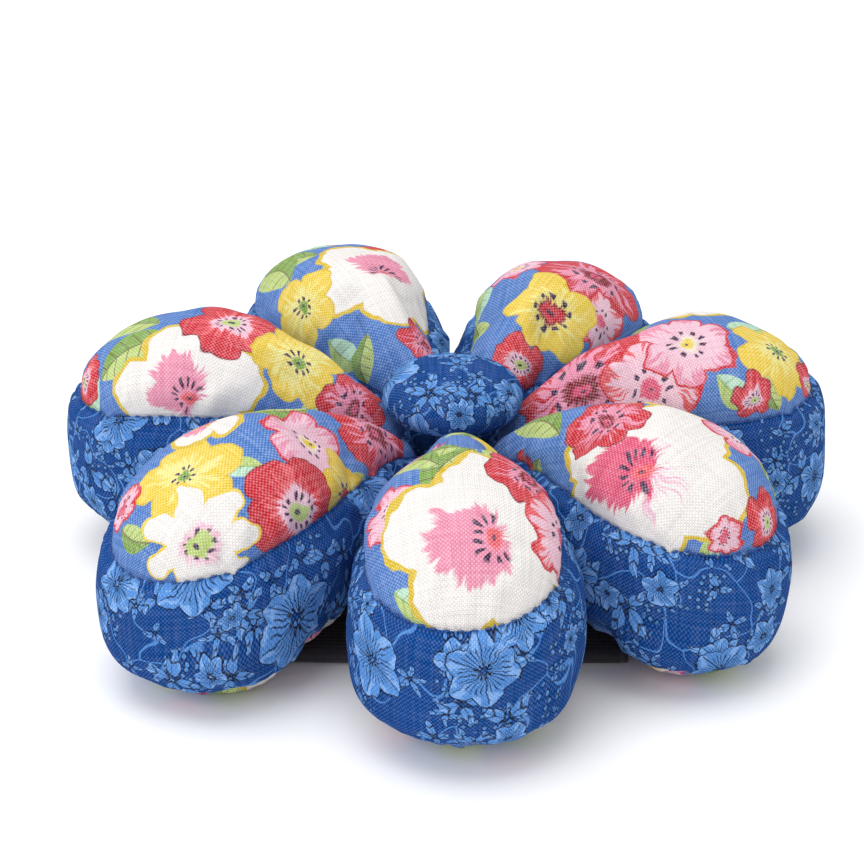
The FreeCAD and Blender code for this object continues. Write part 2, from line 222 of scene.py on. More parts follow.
def pillow(name, number, left_slope, right_slope):
    """The closed pillow before stuffing: two disc grids joined by the side panel's rows.

    Returns an object in millimetres in the petal's own frame, with its flat-cloth UV map.
    """
    outline, girth = petal_outline(left_slope, right_slope, reach_changes[number])
    radius, turn = disc_grid()
    size = 2 * HALF_GRID + 1
    top_rho = radius * top_seam_rho(turn, number)
    top = pillow_points(outline, top_rho, turn, 1)
    bottom = pillow_points(outline, radius * bottom_seam_rho, turn, -1)
    columns = np.arange(ROUND) / ROUND
    swings, depth = side_rows(outline, columns, number)
    wall = [pillow_points(outline, np.cos(swing) ** (2 / roundness), columns, swing)
            for swing in swings[1:-1]]
    points = np.concatenate([top, *wall, bottom])

    numbers = np.arange(size * size)
    rim = numbers[radius > 0.999]
    rim = rim[np.argsort(np.round(turn[rim] * ROUND) % ROUND)]
    rings = [rim]
    rings += [len(top) + k * ROUND + np.arange(ROUND) for k in range(len(wall))]
    rings.append(rim + len(top) + len(wall) * ROUND)

    cell = (np.arange(size - 1)[:, None] * size + np.arange(size - 1)).ravel()
    top_faces = np.stack([cell, cell + size, cell + size + 1, cell + 1], axis=1)
    bottom_faces = top_faces[:, ::-1] + len(top) + len(wall) * ROUND
    side_faces = np.concatenate([
        np.stack([low, np.roll(low, -1), np.roll(high, -1), high], axis=1)
        for high, low in zip(rings[:-1], rings[1:])
    ])
    faces = np.concatenate([top_faces, side_faces, bottom_faces])

    cut = np.zeros((len(points), 2))
    cut[:len(top)] = flat_cut(outline, top_rho, turn, 1)
    cut[-len(bottom):] = flat_cut(outline, radius * bottom_seam_rho, turn, -1)
    uv = cut[faces]
    first = (np.arange(ROUND) + ROUND // 2) % ROUND
    for row in range(SIDE_ROWS):
        block = slice(len(top_faces) + row * ROUND, len(top_faces) + (row + 1) * ROUND)
        across = np.stack([first, first + 1, first + 1, first], axis=1) * girth / ROUND
        down = -np.array([row + 1, row + 1, row, row]) * depth / SIDE_ROWS
        uv[block] = np.stack([across, np.broadcast_to(down, (ROUND, 4))], axis=-1)

    body = make_piece(name, points, faces.tolist(), uv)
    mesh = body.data
    sizes = [len(top_faces), len(side_faces), len(bottom_faces)]
    for panel in sizes:
        mesh.materials.append(None)
    mesh.polygons.foreach_set("material_index", np.repeat([TOP, SIDE, BOTTOM], sizes).astype(np.int32))
    # rows: 0 to 1 over the top panel, 1 to 2 down the side and 2 to 3 under the bottom
    side_rows_down = np.repeat(1 + np.arange(1, SIDE_ROWS) / SIDE_ROWS, ROUND)
    rows = np.concatenate([radius, side_rows_down, 3 - radius]).astype(np.float32)
    mesh.attributes.new("row", "FLOAT", "POINT").data.foreach_set("value", rows)
    return body


def read(items, key, shape=(-1,), kind=float):
    """One property of all of a mesh's points, faces or corners, as an array."""
    values = np.empty(len(items) * shape[-1] if len(shape) > 1 else len(items), dtype=kind)
    items.foreach_get(key, values)
    return values.reshape(shape)


def set_positions(mesh, points):
    """Moves a mesh's points."""
    mesh.vertices.foreach_set("co", np.asarray(points, dtype=np.float32).reshape(-1))
    mesh.update()


def stuff(pillows):
    """Packs the pillows: cloth under pressure, at a hundred times a millimetre's size.

    The seams are drawn in a little, the tips are held, and no point may move more than the cap.
    """
    room = 0.01
    cap = 2.2
    steps = 20
    before = [read(body.data.vertices, "co", (-1, 3)) for body in pillows]
    for body, points in zip(pillows, before):
        centre = points.mean(axis=0)
        set_positions(body.data, (centre + (points - centre) * 0.985) * room)
        held = body.vertex_groups.new(name="held")
        held.add(np.flatnonzero(points[:, 0] < 8).tolist(), 1, "REPLACE")
        drawn = body.vertex_groups.new(name="drawn")
        rows = read(body.data.attributes["row"].data, "value", kind=np.float32)
        on_seam = (np.abs(rows - 1) < 0.02) | (np.abs(rows - 2) < 0.02)
        drawn.add(np.flatnonzero(on_seam).tolist(), 1, "REPLACE")
        cloth = body.modifiers.new("Cloth", "CLOTH")
        for key, value in dict(
            quality=12, mass=0.3, tension_stiffness=25, compression_stiffness=25, shear_stiffness=8,
            bending_stiffness=0.4, tension_damping=10, use_pressure=True, uniform_pressure_force=4,
            vertex_group_mass="held", vertex_group_shrink="drawn", shrink_min=-0.015, shrink_max=0.05,
        ).items():
            setattr(cloth.settings, key, value)
        cloth.settings.effector_weights.gravity = 0
        cloth.point_cache.frame_start = 1
        cloth.point_cache.frame_end = steps
    for step in range(1, steps + 1):
        bpy.context.scene.frame_set(step)
    graph = bpy.context.evaluated_depsgraph_get()
    for body, points in zip(pillows, before):
        moved = read(body.evaluated_get(graph).data.vertices, "co", (-1, 3)) / room - points
        length = np.linalg.norm(moved, axis=1, keepdims=True)
        moved *= np.minimum(1, cap / np.maximum(length, 1e-9))
        body.modifiers.clear()
        body.vertex_groups.clear()
        set_positions(body.data, points + moved)
    bpy.context.scene.frame_set(1)


def noise(points, wavelength, seed):
    """Smooth noise, about -1 to 1: a sum of sines in directions drawn at random."""
    draw = np.random.default_rng(seed)
    total = np.zeros(len(points))
    for _ in range(9):
        way = draw.normal(size=3)
        way *= 2 * math.pi / wavelength * draw.uniform(0.6, 1.5) / np.linalg.norm(way)
        total += np.sin(points @ way + draw.uniform(0, 2 * math.pi))
    return total / 3


separations = np.diff(np.array(petal_turns + [petal_turns[0] + 2 * math.pi])) % (2 * math.pi)
slopes = np.tan(separations / 2)
pillows = [
    pillow(f"pillow_{k + 1}", k, slopes[k], slopes[k - 1]) for k in range(7)
]
stuff(pillows)


def finish_pillow(body, number):
    """Smooths the stuffed pillow, sinks its seams and gathers them in small puckers.

    Returns its points in metres in the shared frame, its faces, panels and flat-cloth UVs.
    """
    smooth = body.modifiers.new("Subdivision", "SUBSURF")
    smooth.levels = smooth.render_levels = 2
    graph = bpy.context.evaluated_depsgraph_get()
    fine = bpy.data.meshes.new_from_object(body.evaluated_get(graph), depsgraph=graph)
    points = read(fine.vertices, "co", (-1, 3))
    normals = read(fine.vertices, "normal", (-1, 3))
    rows = read(fine.attributes["row"].data, "value", kind=np.float32)
    # about how many millimetres of cloth lie between each point and the nearer seam
    top_cloth, side_cloth, bottom_cloth = 17, 27, 15
    from_top_seam = np.where(rows < 1, (1 - rows) * top_cloth, (rows - 1) * side_cloth)
    from_low_seam = np.where(rows > 2, (rows - 2) * bottom_cloth, (2 - rows) * side_cloth)
    seam = np.minimum(from_top_seam, from_low_seam)
    round_the_seam = points * np.array([1, 1, 0.25])
    pucker = noise(round_the_seam, 2.6, 10 + number) + 0.7 * noise(round_the_seam, 5.5, 30 + number)
    fold_depth, pucker_height, unevenness = 0.42, 0.16, 0.22
    rise = -fold_depth * np.exp(-(seam / 0.7) ** 2)
    rise = rise + pucker_height * pucker * np.exp(-((seam - 1.6) / 2.2) ** 2) * np.clip(seam / 1.2, 0, 1)
    rise = rise + unevenness * noise(points, 11, 50 + number) * np.clip(seam / 6, 0, 1)
    points = points + normals * rise[:, None]

    lift = tip_lifts[number] * points[:, 0] / 50
    points[:, 2] = np.maximum(points[:, 2] + lift, 0.05)
    left = slopes[number] * points[:, 0] - neighbour_gap
    right = -(slopes[number - 1] * points[:, 0] - neighbour_gap)
    points[:, 1] = np.clip(points[:, 1], np.minimum(right, 0), np.maximum(left, 0))

    cosine, sine = math.cos(petal_turns[number]), math.sin(petal_turns[number])
    placed = points @ np.array([[cosine, sine, 0], [-sine, cosine, 0], [0, 0, 1]]) * MM
    faces = read(fine.loops, "vertex_index", kind=np.int32).reshape(-1, 4)
    panels = read(fine.polygons, "material_index", kind=np.int32)
    uv = read(fine.uv_layers["cut"].uv, "vector", (-1, 2), np.float32).reshape(-1, 4, 2)
    bpy.data.meshes.remove(fine)
    bpy.data.objects.remove(body)
    return placed, faces, panels, uv


finished = [finish_pillow(body, number) for number, body in enumerate(pillows)]


def thicken(piece, thickness, offset):
    """Gives cloth its thickness: inwards for an offset of -1, both ways for 0."""
    wall = piece.modifiers.new("Solidify", "SOLIDIFY")
    wall.thickness = thickness
    wall.offset = offset


# ----------------------------------------
# The printed cotton.
# Plain-weave quilting cotton. The top and bottom panels are printed with large loose flowers on a
# cornflower ground; the side panels and the button with pale line-drawn flowers on royal blue.
# ----------------------------------------
def linear(red, green, blue):
    """A colour as seen on screen, 0 to 255, turned into the shader's linear one."""
    shown = np.array([red, green, blue]) / 255
    return (*np.where(shown <= 0.04045, shown / 12.92, ((shown + 0.055) / 1.055) ** 2.4), 1)


class Field:
    """A number that varies over the cloth: a node's output that can be used in a formula."""

    def __init__(self, tree, socket):
        self.tree = tree
        self.socket = socket

    def math(self, operation, *others):
        node = self.tree.nodes.new("ShaderNodeMath")
        node.operation = operation
        for entry, value in zip(node.inputs, (self, *others)):
            feed(self.tree, entry, value)
        return Field(self.tree, node.outputs["Value"])

    def __add__(self, other):
        return self.math("ADD", other)

    def __sub__(self, other):
        return self.math("SUBTRACT", other)

    def __mul__(self, other):
        return self.math("MULTIPLY", other)

    def __truediv__(self, other):
        return self.math("DIVIDE", other)

    def __pow__(self, other):
        return self.math("POWER", other)

    def __abs__(self):
        return self.math("ABSOLUTE")

    def flipped(self):
        """One minus the number."""
        return self * -1 + 1

    def step(self, blur):
        """0 below zero, 1 above it, with a soft edge."""
        node = self / blur + 0.5
        node.socket.node.use_clamp = True
        return node


def feed(tree, entry, value):
    """Links a field to a socket, or sets the socket to a plain value."""
    if isinstance(value, Field):
        tree.links.new(value.socket, entry)
    else:
        entry.default_value = value


def node(tree, kind, output, settings=(), **inputs):
    """Adds a node, sets it up and returns one of its outputs."""
    made = tree.nodes.new(kind)
    for key, value in dict(settings).items():
        setattr(made, key, value)
    for key, value in inputs.items():
        feed(tree, made.inputs[key.replace("_", " ")], value)
    return Field(tree, made.outputs[output])


def mix(tree, mask, under, over):
    """One colour laid over another where the mask is 1."""
    made = tree.nodes.new("ShaderNodeMix")
    made.data_type = "RGBA"
    feed(tree, made.inputs["Factor"], mask)
    feed(tree, made.inputs[6], under)
    feed(tree, made.inputs[7], over)
    return Field(tree, made.outputs[2])


def texture_noise(tree, place, scale, detail, output="Fac"):
    """Smooth noise over the cloth, 0 to 1."""
    return node(tree, "ShaderNodeTexNoise", output, Vector=place, Scale=scale, Detail=detail)


def stretched(tree, place, scale, shift=(0, 0, 0)):
    """Coordinates on the cloth, scaled and then moved."""
    return node(tree, "ShaderNodeMapping", "Vector", {"vector_type": "POINT"}, Vector=place,
                Location=shift, Scale=scale)


def split(tree, vector):
    """The three parts of a vector or a colour."""
    made = tree.nodes.new("ShaderNodeSeparateXYZ")
    tree.links.new(vector.socket, made.inputs[0])
    return [Field(tree, part) for part in made.outputs]


def vector_math(tree, operation, *values):
    """Arithmetic on vectors."""
    made = tree.nodes.new("ShaderNodeVectorMath")
    made.operation = operation
    for entry, value in zip(made.inputs, values):
        feed(tree, entry, value)
    return Field(tree, made.outputs["Vector"])


def voronoi(tree, place, scale, feature="F1"):
    """A node that tells how far the nearest of a scatter of points on the cloth is, and which."""
    made = tree.nodes.new("ShaderNodeTexVoronoi")
    made.voronoi_dimensions = "2D"
    made.feature = feature
    made.inputs["Scale"].default_value = scale
    tree.links.new(place.socket, made.inputs["Vector"])
    return made


def new_material(name, roughness):
    """A material, its node tree and its shader."""
    material = bpy.data.materials.new(name)
    material.use_nodes = True
    shader = material.node_tree.nodes["Principled BSDF"]
    shader.inputs["Roughness"].default_value = roughness
    return material, material.node_tree, shader


def surface(tree, shader, colour, height, strength, distance):
    """Gives a material its colour and its bump, as high as the distance in metres."""
    tree.links.new(colour.socket, shader.inputs["Base Color"])
    bump = tree.nodes.new("ShaderNodeBump")
    bump.inputs["Strength"].default_value = strength
    bump.inputs["Distance"].default_value = distance
    feed(tree, bump.inputs["Height"], height)
    tree.links.new(bump.outputs["Normal"], shader.inputs["Normal"])


def new_group(name, inputs):
    """An empty node group, and its inputs as fields by name."""
    tree = bpy.data.node_groups.new(name, "ShaderNodeTree")
    for key, (kind, value) in inputs.items():
        socket = tree.interface.new_socket(key, in_out="INPUT", socket_type=f"NodeSocket{kind}")
        if value is not None:
            socket.default_value = value
    tree.interface.new_socket("Color", in_out="OUTPUT", socket_type="NodeSocketColor")
    entry = tree.nodes.new("NodeGroupInput")
    return tree, {key: Field(tree, entry.outputs[key]) for key in inputs}


def close_group(tree, result):
    """Sends a colour out of a node group."""
    leave = tree.nodes.new("NodeGroupOutput")
    tree.links.new(result.socket, leave.inputs[0])


WHITE = linear(238, 233, 228)
CREAM = linear(236, 226, 206)
YELLOW = linear(236, 204, 62)
PALE_YELLOW = linear(238, 226, 132)
MUSTARD = linear(218, 186, 26)
RED = linear(206, 40, 48)
DEEP_RED = linear(136, 20, 32)
CORAL = linear(232, 92, 96)
PINK = linear(232, 144, 170)
PALE_PINK = linear(238, 192, 208)
HOT_PINK = linear(222, 84, 118)
PURPLE = linear(70, 34, 66)
BROWN = linear(104, 84, 40)
GREEN = linear(128, 164, 66)
PALE_GREEN = linear(186, 206, 118)
MINT = linear(186, 222, 196)
CORNFLOWER = linear(80, 126, 196)


def flower_group():
    """A printed flower of round petals, laid over the colour under it.

    Each petal is an ellipse in its own share of the turn. Its rim is the edge colour, strokes run
    out from a ragged ring, dark ticks stand round the heart, and noise unsteadies the whole.
    """
    tree, given = new_group("flower", {
        "Cloth": ("Vector", None), "Under": ("Color", None),
        "X": ("Float", 0.0), "Y": ("Float", 0.0), "Radius": ("Float", 8.0), "Turn": ("Float", 0.0),
        "Petals": ("Float", 5.0), "Width": ("Float", 0.4), "Fill": ("Color", WHITE),
        "Stroke": ("Color", PINK), "Strokes": ("Float", 0.5), "Edge": ("Color", MUSTARD),
        "Rim": ("Float", 0.7), "Ring": ("Color", PINK), "Ring size": ("Float", 0.4),
        "Heart": ("Color", RED), "Heart size": ("Float", 0.12), "Ticks": ("Float", 14.0),
        "Tick place": ("Float", 0.24), "Fan": ("Float", 0.0),
    })
    cloth = given["Cloth"]
    sway_scale, sway_size = 0.28, 3.2
    shift = vector_math(tree, "ADD", cloth, given["X"])
    sway_x, sway_y, _ = split(tree, texture_noise(tree, shift, sway_scale, 1.0, "Color"))
    cloth_x, cloth_y, _ = split(tree, cloth)
    x = cloth_x - given["X"] + (sway_x - 0.5) * sway_size
    y = cloth_y - given["Y"] + (sway_y - 0.5) * sway_size
    r = (x * x + y * y) ** 0.5 / given["Radius"]
    angle = y.math("ARCTAN2", x) + given["Turn"]
    share = angle * given["Petals"] / (2 * math.pi)
    part = (share.math("FRACT") - 0.5) * (2 * math.pi) / given["Petals"]
    along = (r * part.math("COSINE") - 0.56) / 0.44
    across = r * part.math("SINE") / given["Width"]
    depth = ((along * along + across * across) ** 0.5).flipped() * given["Radius"] * 0.42
    core = (r * -1 + 0.34) * given["Radius"]
    inside = depth.math("MAXIMUM", core)
    body = inside.step(0.16)
    face = (inside - given["Rim"]).step(0.2)

    ray = node(tree, "ShaderNodeCombineXYZ", "Vector", X=angle.math("COSINE") * 5,
               Y=angle.math("SINE") * 5, Z=r * 0.9 + given["X"])
    streak = (texture_noise(tree, ray, 1.6, 2.0) - 0.5) * 2
    stroke = (streak * 0.9 - r + given["Strokes"]).step(0.12)
    fan = angle.math("COSINE") * given["Fan"]
    ring = (given["Ring size"] * (streak * 0.7 + 1 + fan) - r).step(0.05)
    tick_band = ((r - given["Tick place"]).math("ABSOLUTE") * -1 + 0.045).step(0.03)
    tick = ((angle * given["Ticks"]).math("COSINE") - 0.25).step(0.3) * tick_band * (fan + 0.4).step(0.3)
    heart = (given["Heart size"] * (streak * 0.4 + 1) - r).step(0.03)
    eye = (given["Heart size"] * 0.3 - r).step(0.03)

    colour = mix(tree, body, given["Under"], given["Edge"])
    petal = given["Fill"]
    for mask, ink in ((stroke, given["Stroke"]), (ring, given["Ring"]), (tick, PURPLE),
                      (heart, given["Heart"]), (eye, PURPLE)):
        petal = mix(tree, mask, petal, ink)
    close_group(tree, mix(tree, face, colour, petal))
    return tree


def leaf_group():
    """A printed leaf, lighter on one side of its rib, with slanting veins."""
    tree, given = new_group("leaf", {
        "Cloth": ("Vector", None), "Under": ("Color", None),
        "X": ("Float", 0.0), "Y": ("Float", 0.0), "Length": ("Float", 9.0), "Turn": ("Float", 0.0),
        "Width": ("Float", 3.0), "Light": ("Color", PALE_GREEN), "Dark": ("Color", GREEN),
        "Vein": ("Color", BROWN),
    })
    cloth_x, cloth_y, _ = split(tree, given["Cloth"])
    x = cloth_x - given["X"]
    y = cloth_y - given["Y"]
    cosine, sine = given["Turn"].math("COSINE"), given["Turn"].math("SINE")
    along = (x * cosine + y * sine) / given["Length"]
    bend = (along * math.pi).math("SINE") * 0.12 * given["Length"]
    across = (y * cosine - x * sine + bend) / given["Width"]
    clamped = along.math("MINIMUM", 1.0).math("MAXIMUM", 0.0)
    profile = (clamped * math.pi).math("SINE") ** 0.75
    inside = (profile - abs(across)) * given["Width"]
    body = (inside - 0.05).step(0.16)
    tone = across.step(0.05)
    rib = (abs(across) * given["Width"] * -1 + 0.14).step(0.12)
    slant = ((along * 6 - abs(across) * 0.9) * (2 * math.pi)).math("SINE")
    vein = (slant - 0.93).step(0.08) * (abs(across) * -1 + 0.8).step(0.2)
    colour = mix(tree, tone, given["Dark"], given["Light"])
    colour = mix(tree, vein.math("MAXIMUM", rib) * 0.75, colour, given["Vein"])
    close_group(tree, mix(tree, body, given["Under"], colour))
    return tree


flower_print = flower_group()
leaf_print = leaf_group()


def weave(tree, cloth):
    """Plain weave: warp and weft cross by turns, 34 threads to a centimetre.

    Returns its height, its shade and a slub noise that runs along the threads.
    """
    pitch = 0.29
    u, v = (part * (math.pi / pitch) for part in split(tree, cloth)[:2])
    cross = u.math("COSINE") * v.math("COSINE")
    close, long = 2.4, 0.12
    warp = texture_noise(tree, stretched(tree, cloth, (close, long, 1)), 1.0, 1.0)
    weft = texture_noise(tree, stretched(tree, cloth, (long, close, 1)), 1.0, 1.0)
    slub = (warp + weft - 1) * 0.9
    height = abs(cross) ** 0.6
    shade = cross * 0.5 + slub
    return height, shade, slub


def cotton(name, print_colour, speck):
    """Woven cotton under a print: the weave darkens and flecks the ink, painted shade darkens the gaps
    between the threads, and the weave stands up in the bump.
    """
    material, tree, shader = new_material(name, 0.9)
    shader.inputs["Specular IOR Level"].default_value = 0.02
    cloth = node(tree, "ShaderNodeUVMap", "UV", {"uv_map": "cut"})
    colour = print_colour(tree, cloth)
    height, shade, slub = weave(tree, cloth)
    dark = (shade * -1 - 0.12).step(1.1) * 0.50
    light = (shade - 0.22).step(0.9) * speck
    # painted shade: the colour is darkened where the weave is low, in the gaps between the threads
    thread_gap_shade = (height * -1 + 0.25).step(0.3) * 0.35
    colour = mix(tree, dark, colour, mix(tree, 0.55, colour, linear(8, 16, 44)))
    colour = mix(tree, light, colour, linear(235, 240, 250))
    colour = mix(tree, thread_gap_shade, colour, mix(tree, 0.6, colour, linear(10, 16, 36)))
    fuzz = texture_noise(tree, cloth, 5.0, 3.0)
    surface(tree, shader, colour, height + slub * 0.8 + fuzz * 0.5, 0.7, 0.09 * MM)
    return material


def layer(tree, group, cloth, under, **values):
    """Lays one printed flower or leaf over the colour so far."""
    made = tree.nodes.new("ShaderNodeGroup")
    made.node_tree = group
    feed(tree, made.inputs["Cloth"], cloth)
    feed(tree, made.inputs["Under"], under)
    for key, value in values.items():
        feed(tree, made.inputs[key.replace("_", " ")], value)
    return Field(tree, made.outputs["Color"])


# Kinds of flower in the print: how each is drawn, apart from its place, size and turn.
BLOSSOM = dict(Petals=5.0, Width=0.46, Fill=WHITE, Stroke=WHITE, Strokes=0.0, Edge=MUSTARD, Rim=0.75,
               Ring=PINK, Ring_size=0.30, Fan=0.75, Heart=CORAL, Heart_size=0.08, Ticks=13.0,
               Tick_place=0.17)
BLUSH = dict(BLOSSOM, Ring=HOT_PINK, Stroke=PALE_PINK, Strokes=0.15)
DAISY = dict(Petals=8.0, Width=0.235, Fill=WHITE, Stroke=WHITE, Strokes=0.0, Edge=YELLOW, Rim=0.5,
             Ring=PALE_PINK, Ring_size=0.30, Heart=PALE_GREEN, Heart_size=0.20, Ticks=9.0, Tick_place=0.2)
POPPY = dict(Petals=5.0, Width=0.44, Fill=RED, Stroke=CORAL, Strokes=0.5, Edge=DEEP_RED, Rim=0.2,
             Ring=PALE_PINK, Ring_size=0.38, Heart=PALE_GREEN, Heart_size=0.16, Ticks=12.0, Tick_place=0.24)
BUTTERCUP = dict(Petals=5.0, Width=0.42, Fill=YELLOW, Stroke=PALE_YELLOW, Strokes=0.45,
                 Edge=MUSTARD, Rim=0.3, Ring=PALE_YELLOW, Ring_size=0.24, Heart=GREEN,
                 Heart_size=0.13, Ticks=9.0, Tick_place=0.19)
SUNDROP = dict(BUTTERCUP, Ring=DEEP_RED, Ring_size=0.26, Heart=RED, Heart_size=0.2, Tick_place=0.33)
COSMOS = dict(Petals=6.0, Width=0.36, Fill=PINK, Stroke=PALE_PINK, Strokes=0.75, Edge=RED, Rim=0.42,
              Ring=CREAM, Ring_size=0.22, Heart=YELLOW, Heart_size=0.15, Ticks=10.0, Tick_place=0.3)
PEONY = dict(Petals=6.0, Width=0.42, Fill=RED, Stroke=PINK, Strokes=0.52, Edge=DEEP_RED, Rim=0.2,
             Ring=DEEP_RED, Ring_size=0.22, Heart=HOT_PINK, Heart_size=0.1, Ticks=9.0, Tick_place=0.36)
CAMELLIA = dict(PEONY, Fill=CORAL, Stroke=PALE_PINK, Edge=RED, Rim=0.45, Strokes=0.8, Ring=HOT_PINK)
FRESH = dict(Light=PALE_GREEN, Dark=GREEN)
SOFT = dict(Light=MINT, Dark=PALE_GREEN, Vein=GREEN)

# Each petal's print: leaves, then flowers, at millimetres along and across the flat cloth.
prints = [
    # front
    ([(33, 2, 12, -0.6, 2.8, FRESH), (33, 0, 9, -1.35, 2.4, FRESH), (30, 4, 9, 0.5, 2.6, SOFT),
      (55, -11, 9, 1.0, 2.6, SOFT), (22, -2, 10, 2.6, 2.6, FRESH), (37, -3, 9, -2.2, 2.6, FRESH)],
     [(26, -9, 7, 0.3, COSMOS), (43, -10, 5, 0.4, COSMOS), (22, 9, 7, 0.8, BUTTERCUP),
      (50, 3, 15.5, 1.25, BLOSSOM), (37, 9, 6.5, 0.9, PEONY), (45, 15, 8, 1.2, CAMELLIA)]),
    # front right
    ([(21, -5, 12, 2.8, 2.8, FRESH), (18, -8, 9, -2.2, 2.4, FRESH), (22, 4, 10, 0.6, 2.8, SOFT),
      (52, -9, 7, -0.3, 1.8, SOFT), (46, 9, 10, 0.4, 2.8, FRESH)],
     [(12, -9, 3.6, 0.2, POPPY), (28, 10, 8, 0.3, BUTTERCUP), (39, -9, 16.0, 2.75, BLUSH),
      (28, -3, 6.5, 0.2, PEONY), (56, 2, 5, 0.4, POPPY), (54, -7, 3.4, 0, CAMELLIA),
      (42, 10, 6, 0.5, COSMOS)]),
    # right
    ([(36, -11, 8, -0.5, 2.2, SOFT), (40, -2, 9, 0.5, 2.8, SOFT), (43, -9, 8, -0.9, 2.2, FRESH),
      (24, 6, 11, 0.4, 3.0, FRESH)],
     [(16, -5, 11.5, 0.3, PEONY), (26, -10, 8, 1.1, CAMELLIA), (33, -5, 7.5, 0.2, COSMOS),
      (47, -6, 7.5, 0.8, BUTTERCUP), (42, -14, 3.6, 0.0, POPPY), (55, -7, 4, 0.4, POPPY),
      (38, 10, 8, 0.5, BLOSSOM)]),
    # back right
    ([(35, 10, 9, 2.9, 2.6, SOFT), (26, 12, 9, -2.4, 2.6, FRESH), (21, 5, 9, 2.2, 2.6, FRESH),
      (47, 8, 9, 0.6, 2.6, SOFT)],
     [(39, -6, 9.5, 0.5, PEONY), (32, -12, 6, 0.9, CAMELLIA), (26, -5, 8.5, 0.1, SUNDROP),
      (37, 6, 5, 0.3, COSMOS), (50, 6, 6, 0.4, BLOSSOM), (14, -4, 5, 0, POPPY)]),
    # back left
    ([(40, 4, 12, 0.9, 3.8, FRESH), (38, 10, 12, 0.2, 3.6, FRESH), (46, 3, 9, -0.2, 2.8, SOFT),
      (24, 12, 9, -2.7, 2.6, SOFT), (44, -2, 9, 0.4, 2.6, SOFT), (19, 5, 8, 2.6, 2.4, FRESH)],
     [(40, -9, 5.5, 0.2, POPPY), (30, -3, 12.5, 0.2, BLOSSOM), (32, 12, 7.0, 0.7, BUTTERCUP),
      (15, -4, 5, 0.3, PEONY), (53, -5, 6, 0, CAMELLIA)]),
    # left
    ([(39, 6, 13, 0.3, 4.2, FRESH), (43, 1, 12, -0.15, 3.6, FRESH), (52, 9, 8, 0.8, 2.6, SOFT),
      (17, 6, 8, 2.2, 2.2, SOFT), (26, -6, 9, -0.8, 2.6, SOFT)],
     [(36, 14.5, 13.0, 0.7, BLOSSOM), (32, 1, 7.5, 0.4, POPPY), (21, 3, 7.5, 0.5, BUTTERCUP),
      (56, 7, 5.0, 0, POPPY), (11, 4, 5.5, 0.2, PEONY), (44, -11, 7, 0.4, COSMOS)]),
    # front left
    ([(40, 8, 6, -0.6, 1.8, SOFT), (34, -3, 9, 2.9, 2.4, FRESH), (58, -4, 7, 1.6, 2.0, FRESH),
      (19, 10, 7, 0.9, 2.2, SOFT)],
     [(48, 1, 8.0, 0.3, BUTTERCUP), (15, 3, 8, 0.1, PEONY), (30, 6, 7.2, 0.4, COSMOS),
      (26, 15, 8.0, 0.9, SUNDROP), (55, -7, 3.6, 0.2, CAMELLIA), (39.5, 15, 8.8, 0.7, POPPY),
      (54, 9.5, 9.5, 0.2, DAISY), (38, -7, 7, 0.3, BLOSSOM)]),
]


def flower_cotton(number):
    """The cornflower cotton as it falls on one petal."""
    leaves, flowers = prints[number]

    def print_colour(tree, cloth):
        patchy = texture_noise(tree, cloth, 0.12, 1.0)
        colour = mix(tree, patchy * 0.5, CORNFLOWER, linear(66, 112, 184))
        for *sizes, kind in leaves:
            sizes = dict(zip(("X", "Y", "Length", "Turn", "Width"), map(float, sizes)))
            colour = layer(tree, leaf_print, cloth, colour, **sizes, **kind)
        for *sizes, kind in flowers:
            sizes = dict(zip(("X", "Y", "Radius", "Turn"), map(float, sizes)))
            colour = layer(tree, flower_print, cloth, colour, **sizes, **kind)
        return colour

    return cotton(f"flower_cotton_{number + 1}", print_colour, 0.27)


